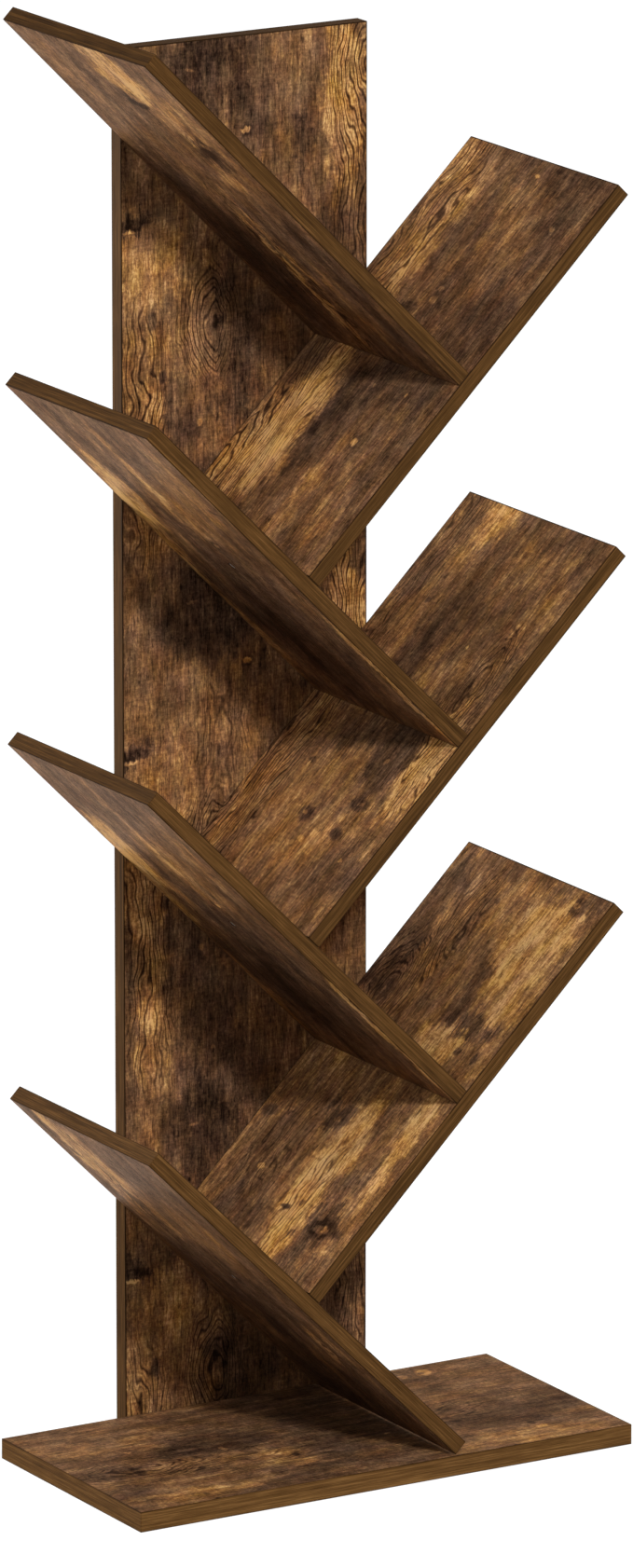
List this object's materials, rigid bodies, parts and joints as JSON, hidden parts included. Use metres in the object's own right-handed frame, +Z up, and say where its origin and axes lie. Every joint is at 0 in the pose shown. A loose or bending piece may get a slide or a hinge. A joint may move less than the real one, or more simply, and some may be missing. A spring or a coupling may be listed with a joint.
{
  "type": "tree shaped bookshelf",
  "caption": "Free-standing bookshelf whose boards lean left and right by turns, like branches, from a narrow back panel over a flat base.",
  "frame": {"origin": "on the floor, under the middle of the whole outline", "axes": "+X to the right seen from the front, +Y to the rear, towards the back panel, +Z up"},
  "size_m": [0.4, 0.2112, 1.0385],
  "materials": {
    "panel_laminate": "satin printed laminate, rustic dark brown with golden streaks, grain upright",
    "shelf_laminate": "satin printed laminate, rustic dark brown with golden streaks, grain lengthwise",
    "base_laminate": "satin printed laminate, rustic dark brown with golden streaks, grain across the width",
    "edge_band": "satin edge banding, plainer olive brown with fine lengthwise streaks",
    "screw_steel": "zinc-plated countersunk screws, slightly dull"
  },
  "bodies": {
    "root": {"base": "base_laminate", "back_panel": "panel_laminate", "shelf_left_4": "shelf_laminate", "shelf_right_3": "shelf_laminate", "shelf_left_3": "shelf_laminate", "shelf_right_2": "shelf_laminate", "shelf_left_2": "shelf_laminate", "shelf_right_1": "shelf_laminate", "shelf_left_1": "shelf_laminate", "base_edge_band": "edge_band", "back_panel_edge_band": "edge_band", "shelf_left_4_edge_band": "edge_band", "shelf_right_3_edge_band": "edge_band", "shelf_left_3_edge_band": "edge_band", "shelf_right_2_edge_band": "edge_band", "shelf_left_2_edge_band": "edge_band", "shelf_right_1_edge_band": "edge_band", "shelf_left_1_edge_band": "edge_band", "base_screw_1": "screw_steel", "base_screw_2": "screw_steel", "base_screw_3": "screw_steel", "panel_screw_left_4_1": "screw_steel", "panel_screw_left_4_2": "screw_steel", "panel_screw_right_3_1": "screw_steel", "panel_screw_right_3_2": "screw_steel", "joint_screw_right_3": "screw_steel", "panel_screw_left_3_1": "screw_steel", "panel_screw_left_3_2": "screw_steel", "joint_screw_left_3": "screw_steel", "panel_screw_right_2_1": "screw_steel", "panel_screw_right_2_2": "screw_steel", "joint_screw_right_2": "screw_steel", "panel_screw_left_2_1": "screw_steel", "panel_screw_left_2_2": "screw_steel", "joint_screw_left_2": "screw_steel", "panel_screw_right_1_1": "screw_steel", "panel_screw_right_1_2": "screw_steel", "joint_screw_right_1": "screw_steel", "panel_screw_left_1_1": "screw_steel", "panel_screw_left_1_2": "screw_steel", "joint_screw_left_1": "screw_steel"}
  },
  "joints": []
}
